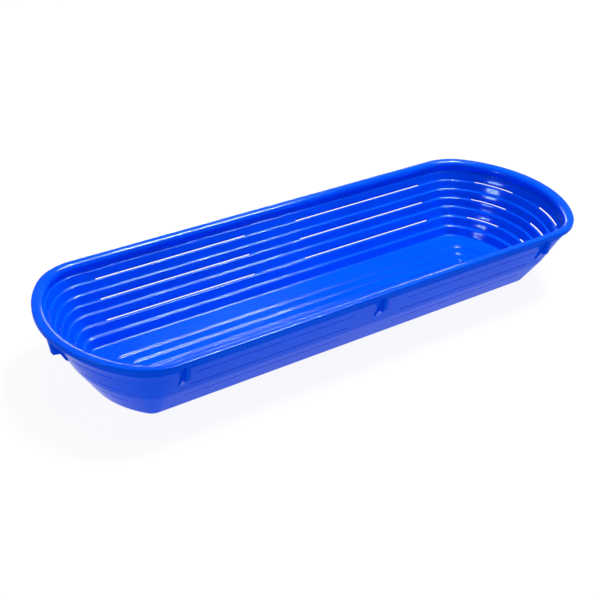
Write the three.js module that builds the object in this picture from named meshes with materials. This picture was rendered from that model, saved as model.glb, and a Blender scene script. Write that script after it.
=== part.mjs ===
// A proofing basket for baguette dough, moulded in one piece from blue polypropylene.
// Long rounded tray with eight terraced wall rings, louvred air slots, a rolled rim, nesting ribs
// and a ridged floor.
// Millimetres, +Z up, +X along the basket, origin at the centre of the underside.
import * as THREE from "three";

// Overall size.
const LENGTH = 382;
const WIDTH = 133;
const HEIGHT = 50.4;

// Plan outline of the rim: a wide arc across each end, a tighter arc at each corner, straight sides.
const END_RADIUS = 81.7;
const CORNER_RADIUS = 36.3;

// The walls of the two ends stand this much further in under the rim than the side walls do.
const END_SETBACK = 1.3;

// Terraces: depth below the rim's top, and inset from the rim's outer edge, of each ledge's middle line.
const FIRST_LEDGE = { depth: 7.5, inset: 5.5 };
const UPPER_STEP = { depth: 5.7, inset: 3.0 };
const LOWER_STEP = { depth: 6.0, inset: 4.0 };
const UPPER_STEPS = 4;
const LEDGES = 8;
const TOP_LEDGE_WIDTH = 1.2;
const LEDGE_WIDENING = 0.15;

// Wall, floor and rim. The wall is thinnest at the foot of each riser, and thicker behind each ledge.
const FOOT_THICKNESS = 1.3;
const RIM_DEPTH = 3.4;
const RIM_THROAT = { inner: 5.8, outer: 4.0 };
const UNDERSIDE_CHAMFER = 1.8;

// Air slots: a low gap above every second ledge, with the plate below it set back behind the wall's
// outer face.
const SLOT_GAP = 0.9;
const SLOT_CLEARANCE = 0.1;
const SIDE_SLOT = { from: 20, to: 131 };
const END_SLOT = { from: 10, to: 34 };
const SIDE_RAMP = 0.7;
const END_RAMP = 0.6;

// Nesting ribs under the rim.
const RIB_THICKNESS = 3.2;
const SIDE_RIB_X = 137.5;
const RIB_TOP_INSET = 1.0;
const RIB_FOOT_INSET = 2.5;
const RIB_DEPTH = 15.4;
const RIB_TAIL_DEPTH = 22.3;
const RIB_TAIL_HEIGHT = 1.3;

// Shallow ridges in closed loops on the floor.
const RIDGES = {
  outer: { inset: 44.6, corner: 9 },
  middle: { inset: 53.8, corner: 7 },
  inner: { inset: 63.0, corner: 3 },
};
const RIDGE_FOOT = 3.0;
const RIDGE_CREST = 1.4;
const RIDGE_HEIGHT = 0.9;
const RIDGE_CORNER_STEPS = 4;
const RIDGE_END_STEPS = 6;

const BLUE = 0x0a62f2;

const degrees = (angle) => (angle * 180) / Math.PI;
const radians = (angle) => (angle * Math.PI) / 180;

// The plan outline's arcs for a loop of the given inset, end radius and corner radius.
// The setback moves both ends inwards.
function outlineAt(inset, endRadius, cornerRadius, setback) {
  const halfWidth = WIDTH / 2 - inset;
  const endCentre = LENGTH / 2 - inset - setback - endRadius;
  const split = Math.asin((halfWidth - cornerRadius) / (endRadius - cornerRadius));
  const cornerX = endCentre + (endRadius - cornerRadius) * Math.cos(split);
  const cornerY = halfWidth - cornerRadius;
  return { halfWidth, endRadius, cornerRadius, endCentre, split, cornerX, cornerY };
}

const RIM_OUTLINE = outlineAt(0, END_RADIUS, CORNER_RADIUS, 0);

// Position of a quarter station on the outline moved inwards by the inset.
function quarterPoint(station, inset) {
  const { halfWidth, endCentre, cornerX, cornerY } = RIM_OUTLINE;
  const setback = END_SETBACK * Math.min(1, inset / RIM_THROAT.inner);
  if (station.kind === "end") {
    const radius = END_RADIUS - inset;
    return [endCentre - setback + radius * Math.cos(station.angle), radius * Math.sin(station.angle)];
  }
  if (station.kind === "corner") {
    const radius = CORNER_RADIUS - inset;
    const x = cornerX - setback + radius * Math.cos(station.angle);
    return [x, cornerY + radius * Math.sin(station.angle)];
  }
  return [station.x, halfWidth - inset];
}

// Stations of one quarter, from the middle of the right-hand end to the middle of the back side.
// "slotted" is true where the air slots are open.
function quarterStations() {
  const end = (angle, slotted) => ({ kind: "end", angle: radians(angle), slotted });
  const corner = (angle) => ({ kind: "corner", angle: radians(angle), slotted: false });
  const side = (x, slotted) => ({ kind: "side", x, slotted });
  const split = degrees(RIM_OUTLINE.split);
  const ribAngle = degrees(Math.asin(RIB_THICKNESS / 2 / END_RADIUS));
  return [
    end(ribAngle, false),
    end(END_SLOT.from, false),
    end(END_SLOT.from + END_RAMP, true),
    end((2 * END_SLOT.from + END_SLOT.to) / 3, true),
    end((END_SLOT.from + 2 * END_SLOT.to) / 3, true),
    end(END_SLOT.to - END_RAMP, true),
    end(END_SLOT.to, false),
    end(split, false),
    corner(50),
    corner(60),
    corner(70),
    corner(80),
    side(RIM_OUTLINE.cornerX, false),
    side(SIDE_RIB_X + RIB_THICKNESS / 2, false),
    side(SIDE_RIB_X - RIB_THICKNESS / 2, false),
    side(SIDE_SLOT.to, false),
    side(SIDE_SLOT.to - SIDE_RAMP, true),
    side(SIDE_SLOT.from + SIDE_RAMP, true),
    side(SIDE_SLOT.from, false),
    side(RIB_THICKNESS / 2, false),
  ];
}

// All stations round the basket, counter-clockwise seen from above.
function allStations() {
  const quarter = quarterStations();
  const mirrored = [...quarter].reverse();
  const turn = (stations, sx, sy) => stations.map((station) => ({ ...station, sx, sy }));
  return [
    ...turn(quarter, 1, 1),
    ...turn(mirrored, -1, 1),
    ...turn(quarter, -1, -1),
    ...turn(mirrored, 1, -1),
  ];
}

const STATIONS = allStations();

function pointAt(station, inset, z) {
  const [x, y] = quarterPoint(station, inset);
  return [station.sx * x, station.sy * y, z];
}

// Ledge heights and edges, from the rim's underside (index 0) down to the floor (index 8).
function ledgeTable() {
  const rows = [
    { z: HEIGHT - RIM_DEPTH, foot: RIM_THROAT.inner, brink: RIM_THROAT.inner, outer: RIM_THROAT.outer },
  ];
  let { depth, inset } = FIRST_LEDGE;
  for (let k = 1; k <= LEDGES; k++) {
    const half = (TOP_LEDGE_WIDTH + LEDGE_WIDENING * (k - 1)) / 2;
    const foot = inset - half;
    rows.push({ z: HEIGHT - depth, foot, brink: inset + half, outer: foot - FOOT_THICKNESS });
    const step = k <= UPPER_STEPS ? UPPER_STEP : LOWER_STEP;
    depth += step.depth;
    inset += step.inset;
  }
  return rows;
}

const LEDGE = ledgeTable();
const FLOOR_TOP = LEDGE[LEDGES].z;

const slotAbove = (k) => k % 2 === 0 && k > 0 && k < LEDGES;

// Four corners of wall ring k at a station: inner top, inner foot, outer foot, outer top.
function ringSection(k, station) {
  const top = LEDGE[k - 1];
  const bottom = LEDGE[k];
  const lift = station.slotted && slotAbove(k) ? SLOT_GAP : 0;
  const share = lift / (top.z - bottom.z);
  const innerFoot = bottom.foot + (top.brink - bottom.foot) * share;
  const outerFoot = bottom.outer + (top.outer - bottom.outer) * share;
  const outerTop = station.slotted && slotAbove(k - 1) ? top.foot + SLOT_CLEARANCE : top.outer;
  return [
    [top.brink, top.z],
    [innerFoot, bottom.z + lift],
    [outerFoot, bottom.z + lift],
    [outerTop, top.z],
  ];
}

// Rim profile as [inset, depth below the rim's top], from the inner foot over the top to the outer lip.
const RIM_PROFILE = [
  [RIM_THROAT.inner, RIM_DEPTH],
  [5.7, 1.9],
  [5.1, 0.7],
  [4.0, 0],
  [2.2, 0],
  [0.8, 0.4],
  [0, 1.3],
  [0, 2.4],
  [0.4, 3.1],
  [1.0, RIM_DEPTH],
];

function geometryFrom(points, faces) {
  const geometry = new THREE.BufferGeometry();
  geometry.setAttribute("position", new THREE.Float32BufferAttribute(points.flat(), 3));
  geometry.setIndex(faces.flat());
  geometry.computeVertexNormals();
  return geometry;
}

// A closed loop: one section per station, each a list of points in the same order.
// Sections run from the inner face over the foot to the outer face, so faces look outwards.
function loopGeometry(sections) {
  const rows = sections.length;
  const sides = sections[0].length;
  const faces = [];
  for (let i = 0; i < rows; i++) {
    const next = (i + 1) % rows;
    for (let j = 0; j < sides; j++) {
      const after = (j + 1) % sides;
      const a = i * sides + j;
      const b = next * sides + j;
      const c = next * sides + after;
      const d = i * sides + after;
      faces.push([a, c, d], [a, b, c]);
    }
  }
  return geometryFrom(sections.flat(), faces);
}

function ringGeometry(k) {
  return loopGeometry(
    STATIONS.map((station) => ringSection(k, station).map(([inset, z]) => pointAt(station, inset, z))),
  );
}

function rimGeometry() {
  const profile = [...RIM_PROFILE].reverse();
  return loopGeometry(
    STATIONS.map((station) => profile.map(([inset, depth]) => pointAt(station, inset, HEIGHT - depth))),
  );
}

// The floor: a plate under the lowest ring, chamfered round its underside.
function floorGeometry() {
  const edge = LEDGE[LEDGES].outer;
  const upper = STATIONS.map((station) => pointAt(station, edge, FLOOR_TOP));
  const lower = STATIONS.map((station) => pointAt(station, edge + UNDERSIDE_CHAMFER, 0));
  const count = STATIONS.length;
  const faces = [];
  for (let i = 0; i < count; i++) {
    const next = (i + 1) % count;
    faces.push([i, count + i, count + next], [i, count + next, next]);
  }
  for (let i = 1; i < count - 1; i++) {
    faces.push([0, i, i + 1], [count, count + i + 1, count + i]);
  }
  return geometryFrom([...upper, ...lower], faces);
}

// Points of a floor loop: a long rounded outline with small corner arcs.
function ridgeOutline({ inset, corner }) {
  const outline = outlineAt(inset, END_RADIUS - inset, corner, END_SETBACK);
  const quarter = [];
  for (let i = 0; i < RIDGE_END_STEPS; i++) {
    const angle = (outline.split * (i + 0.5)) / RIDGE_END_STEPS;
    quarter.push({ centre: [outline.endCentre, 0], radius: outline.endRadius, angle });
  }
  for (let i = 0; i <= RIDGE_CORNER_STEPS; i++) {
    const angle = outline.split + ((Math.PI / 2 - outline.split) * i) / RIDGE_CORNER_STEPS;
    quarter.push({ centre: [outline.cornerX, outline.cornerY], radius: outline.cornerRadius, angle });
  }
  return quarter;
}

function ridgeGeometry(ridge) {
  const profile = [
    [RIDGE_CREST / 2, RIDGE_HEIGHT],
    [RIDGE_FOOT / 2, 0],
    [-RIDGE_FOOT / 2, 0],
    [-RIDGE_CREST / 2, RIDGE_HEIGHT],
  ];
  const quarter = ridgeOutline(ridge);
  const mirrored = [...quarter].reverse();
  const quarters = [
    [quarter, 1, 1],
    [mirrored, -1, 1],
    [quarter, -1, -1],
    [mirrored, 1, -1],
  ];
  const sections = quarters.flatMap(([points, sx, sy]) =>
    points.map(({ centre, radius, angle }) =>
      profile.map(([inwards, z]) => [
        sx * (centre[0] + (radius - inwards) * Math.cos(angle)),
        sy * (centre[1] + (radius - inwards) * Math.sin(angle)),
        FLOOR_TOP + z,
      ]),
    ),
  );
  return loopGeometry(sections);
}

// Inset of the wall's outer face at a depth below the rim's top.
function outerInset(depth) {
  const z = HEIGHT - depth;
  const k = LEDGE.findIndex((row) => row.z <= z);
  const below = LEDGE[k];
  const above = LEDGE[Math.max(k - 1, 0)];
  const share = k === 0 ? 0 : (above.z - z) / (above.z - below.z);
  return above.outer + (below.outer - above.outer) * share;
}

// Side view of a nesting rib as [inset, z]: a tooth under the rim, then a low tail down the wall.
function ribProfile() {
  const tailTop = RIB_DEPTH + 0.8;
  const outward = [
    [RIB_TOP_INSET, RIM_DEPTH],
    [RIB_FOOT_INSET, RIB_DEPTH - 1.2],
    [RIB_FOOT_INSET + 0.5, RIB_DEPTH - 0.3],
    [RIB_FOOT_INSET + 1.4, RIB_DEPTH],
    [outerInset(tailTop) - RIB_TAIL_HEIGHT, tailTop],
    [outerInset(RIB_TAIL_DEPTH - 1) - RIB_TAIL_HEIGHT, RIB_TAIL_DEPTH - 1],
    [outerInset(RIB_TAIL_DEPTH), RIB_TAIL_DEPTH],
  ].map(([inset, depth]) => [inset, HEIGHT - depth]);
  const tailZ = HEIGHT - RIB_TAIL_DEPTH;
  const wall = LEDGE.filter((row) => row.z > tailZ).reverse().map((row) => [row.outer, row.z]);
  return [...outward, ...wall];
}

// A rib fills the strip between station i and the next one.
function ribGeometry(i) {
  const profile = ribProfile();
  const stations = [STATIONS[i], STATIONS[(i + 1) % STATIONS.length]];
  const points = stations.flatMap((station) => profile.map(([inset, z]) => pointAt(station, inset, z)));
  const count = profile.length;
  const contour = profile.map(([inset, z]) => new THREE.Vector2(inset, z));
  const caps = THREE.ShapeUtils.triangulateShape(contour, []);
  const turned = THREE.ShapeUtils.isClockWise(contour);
  const faces = [];
  for (const [a, b, c] of caps) {
    const [first, second] = turned ? [b, c] : [c, b];
    faces.push([a, first, second], [count + a, count + second, count + first]);
  }
  for (let j = 0; j < count; j++) {
    const after = (j + 1) % count;
    const low = turned ? [j, after] : [after, j];
    faces.push([low[1], low[0], count + low[0]], [low[1], count + low[0], count + low[1]]);
  }
  return geometryFrom(points, faces);
}

// Index of the station that starts the strip centred on (x, y).
function stripAt(x, y) {
  const middle = (i) => {
    const a = pointAt(STATIONS[i], 0, 0);
    const b = pointAt(STATIONS[(i + 1) % STATIONS.length], 0, 0);
    return Math.hypot((a[0] + b[0]) / 2 - x, (a[1] + b[1]) / 2 - y);
  };
  return STATIONS.reduce((best, _, i) => (middle(i) < middle(best) ? i : best), 0);
}

function addPart(group, name, geometry) {
  const material = new THREE.MeshStandardMaterial({ color: BLUE, roughness: 0.3, metalness: 0 });
  const mesh = new THREE.Mesh(geometry, material);
  mesh.name = name;
  group.add(mesh);
}

const basket = new THREE.Group();
basket.name = "baguette_tray";

addPart(basket, "rim", rimGeometry());
for (let k = 1; k <= LEDGES; k++) {
  addPart(basket, `wall_ring_${k}`, ringGeometry(k));
}
addPart(basket, "floor_panel", floorGeometry());
for (const [place, ridge] of Object.entries(RIDGES)) {
  addPart(basket, `floor_ridge_${place}`, ridgeGeometry(ridge));
}

const RIB_PLACES = {
  front_left: [-SIDE_RIB_X, -WIDTH / 2],
  front_centre: [0, -WIDTH / 2],
  front_right: [SIDE_RIB_X, -WIDTH / 2],
  back_left: [-SIDE_RIB_X, WIDTH / 2],
  back_centre: [0, WIDTH / 2],
  back_right: [SIDE_RIB_X, WIDTH / 2],
  end_left: [-LENGTH / 2, 0],
  end_right: [LENGTH / 2, 0],
};
for (const [place, [x, y]] of Object.entries(RIB_PLACES)) {
  addPart(basket, `nesting_rib_${place}`, ribGeometry(stripAt(x, y)));
}

export default basket;
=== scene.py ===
"""Looks for a moulded baguette proofing basket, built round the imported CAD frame. Metres, +Z up."""

import math

import bmesh
import bpy
from mathutils import Matrix, Vector


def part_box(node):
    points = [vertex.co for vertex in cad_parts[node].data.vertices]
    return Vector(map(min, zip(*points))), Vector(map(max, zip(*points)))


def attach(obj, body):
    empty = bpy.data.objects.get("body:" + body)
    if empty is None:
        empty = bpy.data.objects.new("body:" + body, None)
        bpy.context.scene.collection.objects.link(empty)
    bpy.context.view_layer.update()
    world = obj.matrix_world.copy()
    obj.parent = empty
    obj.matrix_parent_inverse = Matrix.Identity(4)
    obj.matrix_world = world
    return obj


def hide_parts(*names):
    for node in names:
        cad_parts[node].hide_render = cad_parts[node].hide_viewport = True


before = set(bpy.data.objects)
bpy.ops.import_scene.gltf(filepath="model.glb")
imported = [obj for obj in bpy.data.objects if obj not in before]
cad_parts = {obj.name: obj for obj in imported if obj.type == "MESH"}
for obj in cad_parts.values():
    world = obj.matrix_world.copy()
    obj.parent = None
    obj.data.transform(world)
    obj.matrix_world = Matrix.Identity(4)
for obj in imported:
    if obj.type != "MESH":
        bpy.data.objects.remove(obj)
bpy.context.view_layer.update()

MM = 0.001

# ---------------------------------------------- sizes: box from the frame, the rest as in the CAD
RIM_LOW, RIM_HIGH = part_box("rim")
HALF_LENGTH = RIM_HIGH.x
HALF_WIDTH = RIM_HIGH.y
TOP = RIM_HIGH.z
LEDGES = 8
END_RADIUS = 81.7 * MM
CORNER_RADIUS = 36.3 * MM
END_SETBACK = 1.3 * MM
TOP_LEDGE_WIDTH = 1.2 * MM
LEDGE_WIDENING = 0.15 * MM
FOOT_THICKNESS = 1.3 * MM
RIM_THROAT = 5.8 * MM
RIM_DEPTH = 3.4 * MM

# ---------------------------------------------------------------- small shapes that the CAD leaves out
BRINK_ROUND = 0.55 * MM
TOP_FILLET = 0.6 * MM
FILLET_GROWTH = 0.08 * MM
SLOT_EDGE_ROUND = 0.25 * MM
SLOT_GAP = 0.9 * MM
SLOT_CLEARANCE = 0.1 * MM
SLOT_LIP = 0.05 * MM
LOUVRE_DROP = 0.85 * MM
ROUND_STEPS = 4
OUTER_STEPS = 3
SMOOTH_LIMIT = math.radians(35)
MERGE_DISTANCE = 1e-7
SLIVER_LENGTH = 1e-8

# Air slots: start and end along a side, as distances from the middle, and round an end, as angles
# from the long axis.
SIDE_SLOT = (20 * MM, 131 * MM)
END_SLOT = (math.radians(10), math.radians(34))
SIDE_RAMP = 0.6 * MM
END_RAMP = math.radians(0.45)
SIDE_STEP = 14 * MM
ARC_STEP = math.radians(2.6)
CORNER_STEP = math.radians(3.6)

# Floor plate and its ridges.
RIDGE_FOOT = 3.0 * MM
RIDGE_SPREAD = {"floor_ridge_outer": 3.0 * MM, "floor_ridge_middle": 3.0 * MM, "floor_ridge_inner": 2.2 * MM}
RIDGE_CORNER = {"floor_ridge_outer": 9 * MM, "floor_ridge_middle": 7 * MM, "floor_ridge_inner": 3 * MM}
RIDGE_STEPS = 12
RIDGE_CORNER_STEP = 4 * CORNER_STEP
UNDERSIDE_ROUND = 3.4 * MM
UNDERSIDE_PULL = 0.4

# Nesting ribs, in millimetres: insets, and depths below the rim's top.
RIB_TOP_INSET = 1.0
RIB_FOOT_INSET = 2.5
RIB_DEPTH = 15.4
RIB_TAIL_DEPTH = 22.3

# The tooth's rounded foot: how far inwards and how far up each point is from the foot's outer corner.
RIB_FOOT_ROUND = [(0, 1.6), (0.15, 0.7), (0.7, 0.1), (1.6, 0)]

# The tail: how far below the tooth, or above the tail's end, each point is, and its height off the wall.
RIB_TAIL_START = [(0.5, 1.5), (1.2, 1.3)]
RIB_TAIL_END = [(1.2, 1.1), (0.3, 0.6), (0, 0)]

# The ribs' rounded edges, and how deep a rib goes into the wall.
RIB_BEVEL = 0.4 * MM
RIB_BEVEL_STEPS = 3
RIB_BEVEL_SHAPE = 0.6
RIB_BEVEL_LIMIT = math.radians(60)
RIB_EMBED = 0.5 * MM


# ---------------------------------------------------------------- plan outline
def outline_at(inset, end_radius, corner_radius, setback):
    """Centres and angles of the arcs that make a rounded long outline, moved inwards by the inset."""
    half_width = HALF_WIDTH - inset
    end_centre = HALF_LENGTH - inset - setback - end_radius
    split = math.asin((half_width - corner_radius) / (end_radius - corner_radius))
    reach = end_radius - corner_radius
    corner = (end_centre + reach * math.cos(split), half_width - corner_radius)
    return {
        "half_width": half_width,
        "end_radius": end_radius,
        "corner_radius": corner_radius,
        "end_centre": end_centre,
        "split": split,
        "corner": corner,
    }


RIM_OUTLINE = outline_at(0, END_RADIUS, CORNER_RADIUS, 0)


def spread(stops, step):
    """(value, weight) stops, with more put between them so that no gap is wider than step."""
    found = [stops[0]]
    for (a, wa), (b, wb) in zip(stops, stops[1:]):
        count = max(1, math.ceil(abs(b - a) / step))
        found += [(a + (b - a) * i / count, wa + (wb - wa) * i / count) for i in range(1, count + 1)]
    return found


def quarter_stations():
    """Stations from the middle of the right-hand end to the middle of the back side.

    Each is its kind, its place and its slot weight.
    """
    split = RIM_OUTLINE["split"]
    end_low, end_high = END_SLOT
    side_low, side_high = SIDE_SLOT
    end = spread(
        [(0, 0), (end_low, 0), (end_low + END_RAMP, 1), (end_high - END_RAMP, 1), (end_high, 0), (split, 0)],
        ARC_STEP,
    )
    corner = spread([(split, 0), (math.pi / 2, 0)], CORNER_STEP)[1:]
    side = spread(
        [
            (RIM_OUTLINE["corner"][0], 0),
            (side_high, 0),
            (side_high - SIDE_RAMP, 1),
            (side_low + SIDE_RAMP, 1),
            (side_low, 0),
            (0, 0),
        ],
        SIDE_STEP,
    )[1:]
    return [("end", *s) for s in end] + [("corner", *s) for s in corner] + [("side", *s) for s in side]


def all_stations():
    """Every station round the basket with its mirror signs, counter-clockwise from above."""
    quarter = quarter_stations()
    back = quarter[::-1]
    full = [(s, 1, 1) for s in quarter]
    full += [(s, -1, 1) for s in back[1:]]
    full += [(s, -1, -1) for s in quarter[1:]]
    full += [(s, 1, -1) for s in back[1:-1]]
    return full


STATIONS = all_stations()


def place(station, inset, z):
    """Point of a station at an inset from the rim's outer edge."""
    (kind, value, _), sx, sy = station
    setback = end_setback(inset)
    if kind == "end":
        radius = END_RADIUS - inset
        x = RIM_OUTLINE["end_centre"] - setback + radius * math.cos(value)
        y = radius * math.sin(value)
    elif kind == "corner":
        radius = CORNER_RADIUS - inset
        x = RIM_OUTLINE["corner"][0] - setback + radius * math.cos(value)
        y = RIM_OUTLINE["corner"][1] + radius * math.sin(value)
    else:
        x, y = value, HALF_WIDTH - inset
    return (sx * x, sy * y, z)


# ---------------------------------------------------------------- ledges, read from the frame
def ledge_table():
    """Height, foot, brink and outer inset of each ledge. Row 0 is the rim's underside."""
    rows = []
    for k in range(LEDGES + 1):
        node = f"wall_ring_{k + 1}" if k < LEDGES else "floor_panel"
        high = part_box(node)[1]
        outer = HALF_WIDTH - high.y
        foot = outer + FOOT_THICKNESS if k else RIM_THROAT
        brink = foot + TOP_LEDGE_WIDTH + LEDGE_WIDENING * (k - 1) if k else RIM_THROAT
        rows.append({"z": high.z, "foot": foot, "brink": brink, "outer": outer})
    return rows


LEDGE = ledge_table()
FLOOR_TOP = LEDGE[LEDGES]["z"]


def slot_above(k):
    """True where the gap over ledge k is open."""
    return k % 2 == 0 and 0 < k < LEDGES


def lerp(a, b, t):
    return a + (b - a) * t


def mix(p, q, t):
    return tuple(lerp(a, b, t) for a, b in zip(p, q))


def bend(start, corner, end, steps=ROUND_STEPS):
    """Points of a rounded corner, as a quadratic curve from start to end."""
    points = []
    for i in range(steps + 1):
        t = i / steps
        points.append(mix(mix(start, corner, t), mix(corner, end, t), t))
    return points


def sharp(start, corner, end, steps=ROUND_STEPS):
    """As many points as bend gives, along the two straight sides of the corner."""
    half = steps // 2
    first = [mix(start, corner, i / half) for i in range(half)]
    last = [mix(corner, end, i / (steps - half)) for i in range(steps - half + 1)]
    return first + last


def along(low, high, z):
    """Inset at height z on the line between two (inset, z) points."""
    return lerp(low[0], high[0], (z - low[1]) / (high[1] - low[1]))


def ring_profile(k, weight):
    """Closed section of wall ring k, from the inner brink down, under the foot and up the outer face."""
    top, bottom = LEDGE[k - 1], LEDGE[k]
    brink = (top["brink"], top["z"])
    foot = (bottom["foot"], bottom["z"])
    outer_foot = (bottom["outer"], bottom["z"])
    outer_top = (top["outer"], top["z"])

    def riser(z):
        return (along(foot, brink, z), z)

    def outer(z):
        return (along(outer_foot, outer_top, z), z)

    round_in = BRINK_ROUND if k > 1 else 0
    points = bend((brink[0] - round_in, brink[1]), brink, riser(brink[1] - round_in))
    points.append(riser(lerp(foot[1], brink[1], 0.5)))

    fillet = TOP_FILLET + FILLET_GROWTH * (k - 1)
    closed_in = bend(riser(foot[1] + fillet), foot, (foot[0] + fillet, foot[1]))
    under = SLOT_EDGE_ROUND
    closed_out = sharp((outer_foot[0] + under, foot[1]), outer_foot, outer(foot[1] + under))
    if slot_above(k):
        lift, lip = foot[1] + SLOT_GAP, foot[1] - SLOT_LIP
        tip_in, tip_out = riser(lift), outer(lip)
        open_in = bend(riser(lift + under), tip_in, (tip_in[0] - under, lift))
        open_out = bend((tip_out[0] + under, lip), tip_out, outer(lip + under))
        closed_in = [mix(a, b, weight) for a, b in zip(closed_in, open_in)]
        closed_out = [mix(a, b, weight) for a, b in zip(closed_out, open_out)]
    points += closed_in + closed_out

    shoulder = outer_top[1] - LOUVRE_DROP
    side = [outer(lerp(foot[1], shoulder, (i + 1) / OUTER_STEPS)) for i in range(OUTER_STEPS)]
    corner = sharp(outer(outer_top[1] - under), outer_top, (outer_top[0] + under, outer_top[1]))
    if slot_above(k - 1):
        set_back = (top["foot"] + SLOT_CLEARANCE, top["z"])
        open_corner = bend(outer(shoulder), mix(outer(shoulder), set_back, 0.5), set_back)
        corner = [mix(a, b, weight) for a, b in zip(corner, open_corner)]
    return points + side + corner


# ---------------------------------------------------------------- mesh helpers
def finish_mesh(name, mesh):
    """Smooth shading with hard edges where the surface turns sharply, and a new object with that mesh."""
    bm = bmesh.new()
    bm.from_mesh(mesh)
    bmesh.ops.remove_doubles(bm, verts=bm.verts, dist=MERGE_DISTANCE)
    bmesh.ops.dissolve_degenerate(bm, edges=bm.edges, dist=SLIVER_LENGTH)
    bmesh.ops.recalc_face_normals(bm, faces=bm.faces)
    for face in bm.faces:
        face.smooth = True
    for edge in bm.edges:
        edge.smooth = edge.is_manifold and edge.calc_face_angle(0) < SMOOTH_LIMIT
    bm.to_mesh(mesh)
    bm.free()
    piece = bpy.data.objects.new(name, mesh)
    bpy.context.scene.collection.objects.link(piece)
    return piece


def loop_mesh(name, sections):
    """A closed loop of closed sections, one a station."""
    rows, sides = len(sections), len(sections[0])
    verts = [p for section in sections for p in section]
    faces = []
    for i in range(rows):
        n = (i + 1) % rows
        for j in range(sides):
            m = (j + 1) % sides
            faces.append((i * sides + j, n * sides + j, n * sides + m, i * sides + m))
    mesh = bpy.data.meshes.new(name)
    mesh.from_pydata(verts, [], faces)
    return finish_mesh(name, mesh)


def add_piece(piece, node, material):
    """The piece stands for that CAD node and rides with the basket."""
    piece.data.materials.append(material)
    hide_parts(node)
    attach(piece, "root")
    return piece


# ---------------------------------------------------------------- pieces
def make_ring(k, material):
    profiles = {}
    sections = []
    for station in STATIONS:
        weight = station[0][2]
        if weight not in profiles:
            profiles[weight] = ring_profile(k, weight)
        sections.append([place(station, inset, z) for inset, z in profiles[weight]])
    add_piece(loop_mesh(f"terrace_{k}", sections), f"wall_ring_{k}", material)


def chaikin(points, rounds):
    """Corner cutting that keeps both end points."""
    for _ in range(rounds):
        cut = [points[0]]
        for a, b in zip(points, points[1:]):
            cut += [mix(a, b, 0.25), mix(a, b, 0.75)]
        points = cut + [points[-1]]
    return points


# Guide points of the rim's section: inset and depth below the rim's top, in millimetres.
RIM_CURVE = [
    (5.8, 3.4),
    (5.8, 2.4),
    (5.2, 0.9),
    (3.9, 0),
    (1.4, 0),
    (0.1, 0.05),
    (0, 1.0),
    (0, 2.5),
    (0.1, 3.3),
    (1.1, 3.4),
]
RIM_ROUNDS = 2


def make_rim(material):
    curve = chaikin([(inset * MM, TOP - depth * MM) for inset, depth in RIM_CURVE], RIM_ROUNDS)
    sections = [[place(station, inset, z) for inset, z in curve] for station in STATIONS]
    add_piece(loop_mesh("rolled_rim", sections), "rim", material)


def make_floor(material):
    """Floor plate with a rounded underside edge; its flat faces are bridged across the width."""
    edge = LEDGE[LEDGES]["outer"]
    curve = bend(
        (edge, FLOOR_TOP),
        (edge + UNDERSIDE_PULL * UNDERSIDE_ROUND, 0),
        (edge + UNDERSIDE_ROUND, 0),
        2 * ROUND_STEPS,
    )
    count = len(STATIONS)
    rings = [[place(station, inset, z) for station in STATIONS] for inset, z in curve]
    verts = [p for ring in rings for p in ring]
    faces = []
    for j in range(len(curve) - 1):
        for i in range(count):
            n = (i + 1) % count
            faces.append((j * count + i, j * count + n, (j + 1) * count + n, (j + 1) * count + i))
    last = (len(curve) - 1) * count
    for start in (0, last):
        for i in range(count // 2):
            a, b = i, i + 1
            c, d = (count - b) % count, (count - a) % count
            corners = list(dict.fromkeys([start + a, start + b, start + c, start + d]))
            if len(corners) > 2:
                faces.append(corners)
    mesh = bpy.data.meshes.new("floor_plate")
    mesh.from_pydata(verts, [], faces)
    add_piece(finish_mesh("floor_plate", mesh), "floor_panel", material)


def ridge_stations(inset, corner):
    """(centre, radius, angle, signs) round a floor loop."""
    outline = outline_at(inset, END_RADIUS - inset, corner, END_SETBACK)
    split = outline["split"]
    quarter = [
        ((outline["end_centre"], 0), outline["end_radius"], angle)
        for angle, _ in spread([(0, 0), (split, 0)], ARC_STEP)
    ]
    quarter += [
        (outline["corner"], outline["corner_radius"], angle)
        for angle, _ in spread([(split, 0), (math.pi / 2, 0)], RIDGE_CORNER_STEP)
    ]
    back = quarter[::-1]
    return (
        [(*s, 1, 1) for s in quarter]
        + [(*s, -1, 1) for s in back]
        + [(*s, -1, -1) for s in quarter[1:]]
        + [(*s, 1, -1) for s in back[:-1]]
    )


def make_ridge(node, material):
    low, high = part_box(node)
    height = high.z - low.z
    inset = HALF_WIDTH - high.y + RIDGE_FOOT / 2
    profile = []
    for i in range(RIDGE_STEPS + 1):
        t = 2 * i / RIDGE_STEPS - 1
        profile.append((t * RIDGE_SPREAD[node] / 2, height * (1 + math.cos(math.pi * t)) / 2))
    sections = []
    for centre, radius, angle, sx, sy in ridge_stations(inset, RIDGE_CORNER[node]):
        sections.append(
            [
                (
                    sx * (centre[0] + (radius - inwards) * math.cos(angle)),
                    sy * (centre[1] + (radius - inwards) * math.sin(angle)),
                    FLOOR_TOP + rise,
                )
                for inwards, rise in profile
            ]
        )
    add_piece(loop_mesh(node + "_bead", sections), node, material)


def end_setback(inset):
    """How much further back the end's wall stands than the rim does, at an inset."""
    return END_SETBACK * min(1, inset / RIM_THROAT)


def outer_inset(z):
    """Inset of the wall's outer face at height z."""
    for top, bottom in zip(LEDGE, LEDGE[1:]):
        if z >= bottom["z"]:
            return along((bottom["outer"], bottom["z"]), (top["outer"], top["z"]), z)
    return LEDGE[-1]["outer"]


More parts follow.
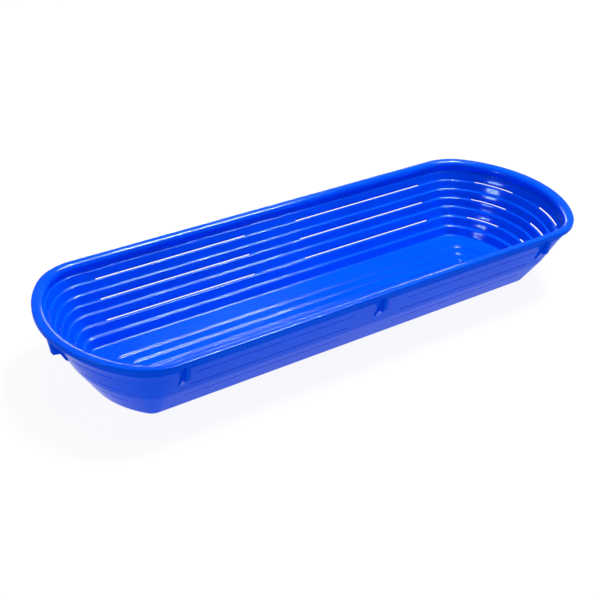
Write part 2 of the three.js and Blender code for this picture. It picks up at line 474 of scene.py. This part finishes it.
def rib_profile():
    """Side view of a nesting rib: a tooth under the rim, then a low tail down the wall."""
    tooth = [(RIB_TOP_INSET, RIM_DEPTH / MM)]
    tooth += [(RIB_FOOT_INSET + inwards, RIB_DEPTH - up) for inwards, up in RIB_FOOT_ROUND]
    points = [(inset * MM, TOP - depth * MM) for inset, depth in tooth]
    tail = [(RIB_DEPTH + down, height) for down, height in RIB_TAIL_START]
    tail += [(RIB_TAIL_DEPTH - up, height) for up, height in RIB_TAIL_END]
    for depth, height in tail:
        z = TOP - depth * MM
        points.append((outer_inset(z) - height * MM, z))
    tail_foot = TOP - RIB_TAIL_DEPTH * MM
    wall = [tail_foot] + [row["z"] for row in LEDGE[::-1] if row["z"] > tail_foot]
    points += [(outer_inset(z) + RIB_EMBED, z) for z in wall]
    return points


def make_rib(name, material):
    node = "nesting_rib_" + name
    low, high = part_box(node)
    centre = (low + high) / 2
    on_end = name.startswith("end")
    thickness = min(high.x - low.x, high.y - low.y)
    sign = math.copysign(1, centre.x if on_end else centre.y)
    profile = rib_profile()
    bm = bmesh.new()
    for side in (-1, 1):
        for inset, z in profile:
            across = side * thickness / 2
            if on_end:
                bm.verts.new((sign * (HALF_LENGTH - inset - end_setback(inset)), across, z))
            else:
                bm.verts.new((centre.x + across, sign * (HALF_WIDTH - inset), z))
    bm.verts.ensure_lookup_table()
    count = len(profile)
    bm.faces.new([bm.verts[i] for i in range(count)])
    bm.faces.new([bm.verts[count + i] for i in reversed(range(count))])
    for i in range(count):
        n = (i + 1) % count
        bm.faces.new([bm.verts[n], bm.verts[i], bm.verts[count + i], bm.verts[count + n]])
    bmesh.ops.recalc_face_normals(bm, faces=bm.faces)
    hard_edges = [e for e in bm.edges if e.calc_face_angle(0) > RIB_BEVEL_LIMIT]
    bmesh.ops.bevel(
        bm,
        geom=hard_edges,
        offset=RIB_BEVEL,
        segments=RIB_BEVEL_STEPS,
        profile=RIB_BEVEL_SHAPE,
        affect="EDGES",
    )
    mesh = bpy.data.meshes.new(node)
    bm.to_mesh(mesh)
    bm.free()
    add_piece(finish_mesh("rib_" + name, mesh), node, material)


# ---------------------------------------------------------------- material
# The specular level is far below that of real plastic: the highlights come from the gloss-only lights.
PLASTIC_IOR = 1.49
PLASTIC_SPECULAR = 0.02
PLASTIC_SPECULAR_TINT = (0.5, 0.8, 1, 1)
DEEP_BLUE = (0.0, 0.065, 0.72, 1)
LIGHT_BLUE = (0.0, 0.078, 0.8, 1)
CLOUD_SCALE = 22
CLOUD_DETAIL = 4
CLOUD_RANGE = (0.3, 0.7)
GRAIN_SCALE = 240
GRAIN_DETAIL = 3
ROUGHNESS_RANGE = (0.1, 0.13)
PEEL_STRENGTH = 0.012
PEEL_HEIGHT = 0.2 * MM


def plastic_material():
    """Glossy injection-moulded polypropylene: slight clouding, faint orange peel and uneven gloss."""
    material = bpy.data.materials.new("blue_polypropylene")
    material.use_nodes = True
    nodes, links = material.node_tree.nodes, material.node_tree.links
    shader = nodes["Principled BSDF"]
    shader.inputs["IOR"].default_value = PLASTIC_IOR
    shader.inputs["Specular IOR Level"].default_value = PLASTIC_SPECULAR
    shader.inputs["Specular Tint"].default_value = PLASTIC_SPECULAR_TINT

    coords = nodes.new("ShaderNodeTexCoord")
    cloud = nodes.new("ShaderNodeTexNoise")
    cloud.inputs["Scale"].default_value = CLOUD_SCALE
    cloud.inputs["Detail"].default_value = CLOUD_DETAIL
    links.new(coords.outputs["Object"], cloud.inputs["Vector"])
    colour = nodes.new("ShaderNodeValToRGB")
    for stop, place, shade in zip(colour.color_ramp.elements, CLOUD_RANGE, (DEEP_BLUE, LIGHT_BLUE)):
        stop.position = place
        stop.color = shade
    links.new(cloud.outputs["Fac"], colour.inputs["Fac"])
    links.new(colour.outputs["Color"], shader.inputs["Base Color"])

    grain = nodes.new("ShaderNodeTexNoise")
    grain.inputs["Scale"].default_value = GRAIN_SCALE
    grain.inputs["Detail"].default_value = GRAIN_DETAIL
    links.new(coords.outputs["Object"], grain.inputs["Vector"])
    gloss = nodes.new("ShaderNodeMapRange")
    gloss.inputs["To Min"].default_value = ROUGHNESS_RANGE[0]
    gloss.inputs["To Max"].default_value = ROUGHNESS_RANGE[1]
    links.new(grain.outputs["Fac"], gloss.inputs["Value"])
    links.new(gloss.outputs["Result"], shader.inputs["Roughness"])

    peel = nodes.new("ShaderNodeBump")
    peel.inputs["Strength"].default_value = PEEL_STRENGTH
    peel.inputs["Distance"].default_value = PEEL_HEIGHT
    links.new(grain.outputs["Fac"], peel.inputs["Height"])
    links.new(peel.outputs["Normal"], shader.inputs["Normal"])
    return material


# ---------------------------------------------------------------- studio
FLOOR_REACH = 6.0
FLOOR_DROP = 0.05 * MM
FLOOR_GREY = (0.1, 0.1, 0.1, 1)
FLOOR_ROUGHNESS = 0.9
FLOOR_GLOW = 0.91
WORLD_STRENGTH = 0.58
WHITE = (1, 1, 1, 1)

# Area lights: name, place, aim, size and power in watts. The key light lights every surface, and the
# gloss lights show in gloss only.
KEY_LIGHT = ("key_softbox", (0.5, 0.05, 1.2), (0, 0, 0), (0.5, 0.5), 19)
GLOSS_LIGHTS = [
    ("key_gloss", (0.55, 0.05, 1.2), (0, 0, 0), (0.8, 0.3), 380),
    ("band_gloss", (0.33, 0.05, 1.25), (-0.14, 0, 0), (0.16, 0.3), 150),
    ("left_gloss", (-1.1, -0.03, 0.17), (0.16, 0.02, 0.02), (0.3, 0.1), 48),
    ("back_gloss", (0.6, 1.25, 0.42), (0, 0, 0.04), (0.9, 0.2), 28),
]


def studio_floor():
    mesh = bpy.data.meshes.new("studio_floor")
    signs = ((-1, -1), (1, -1), (1, 1), (-1, 1))
    corners = [(sx * FLOOR_REACH, sy * FLOOR_REACH, -FLOOR_DROP) for sx, sy in signs]
    mesh.from_pydata(corners, [], [(0, 1, 2, 3)])
    floor = bpy.data.objects.new("studio_floor", mesh)
    bpy.context.scene.collection.objects.link(floor)
    material = bpy.data.materials.new("studio_white")
    material.use_nodes = True
    shader = material.node_tree.nodes["Principled BSDF"]
    shader.inputs["Base Color"].default_value = FLOOR_GREY
    shader.inputs["Roughness"].default_value = FLOOR_ROUGHNESS
    shader.inputs["Specular IOR Level"].default_value = 0.0
    shader.inputs["Emission Color"].default_value = WHITE
    shader.inputs["Emission Strength"].default_value = FLOOR_GLOW
    mesh.materials.append(material)


def studio_world():
    world = bpy.data.worlds.new("studio")
    world.use_nodes = True
    background = world.node_tree.nodes["Background"]
    background.inputs["Color"].default_value = WHITE
    background.inputs["Strength"].default_value = WORLD_STRENGTH
    bpy.context.scene.world = world


def softbox(name, location, target, size, power, highlight_only):
    """A rectangular area light. One that is highlight_only shows in gloss and lights no matt surface."""
    data = bpy.data.lights.new(name, "AREA")
    data.shape = "RECTANGLE"
    data.size, data.size_y = size
    data.energy = power
    light = bpy.data.objects.new(name, data)
    bpy.context.scene.collection.objects.link(light)
    light.location = location
    aim = Vector(target) - Vector(location)
    light.rotation_euler = aim.to_track_quat("-Z", "Y").to_euler()
    light.visible_diffuse = not highlight_only
    light.visible_camera = False


# ---------------------------------------------------------------- camera
CAMERA_AZIMUTH = math.radians(-36.746)
CAMERA_ELEVATION = math.radians(30.957)
CAMERA_ROLL = math.radians(2.543)
CAMERA_PLACE = (-0.40353, -0.51807, 0.40412)
CAMERA_LENS = 70.64
CAMERA_SENSOR = 36


def add_camera():
    back = Vector(
        (
            math.sin(CAMERA_AZIMUTH) * math.cos(CAMERA_ELEVATION),
            -math.cos(CAMERA_AZIMUTH) * math.cos(CAMERA_ELEVATION),
            math.sin(CAMERA_ELEVATION),
        )
    )
    level = Vector((0, 0, 1)).cross(back).normalized()
    upright = back.cross(level)
    c, s = math.cos(CAMERA_ROLL), math.sin(CAMERA_ROLL)
    right = c * level + s * upright
    up = -s * level + c * upright
    data = bpy.data.cameras.new("camera")
    data.sensor_width = CAMERA_SENSOR
    data.lens = CAMERA_LENS
    camera = bpy.data.objects.new("camera", data)
    bpy.context.scene.collection.objects.link(camera)
    camera.matrix_world = Matrix.Translation(CAMERA_PLACE) @ Matrix((right, up, back)).transposed().to_4x4()
    bpy.context.scene.camera = camera


# ---------------------------------------------------------------- build
plastic = plastic_material()
make_rim(plastic)
for number in range(1, LEDGES + 1):
    make_ring(number, plastic)
make_floor(plastic)
for ridge in ("floor_ridge_outer", "floor_ridge_middle", "floor_ridge_inner"):
    make_ridge(ridge, plastic)
for rib in (
    "front_left",
    "front_centre",
    "front_right",
    "back_left",
    "back_centre",
    "back_right",
    "end_left",
    "end_right",
):
    make_rib(rib, plastic)

studio_floor()
studio_world()
softbox(*KEY_LIGHT, highlight_only=False)
for gloss_light in GLOSS_LIGHTS:
    softbox(*gloss_light, highlight_only=True)
add_camera()
bpy.context.scene.view_settings.view_transform = "Standard"
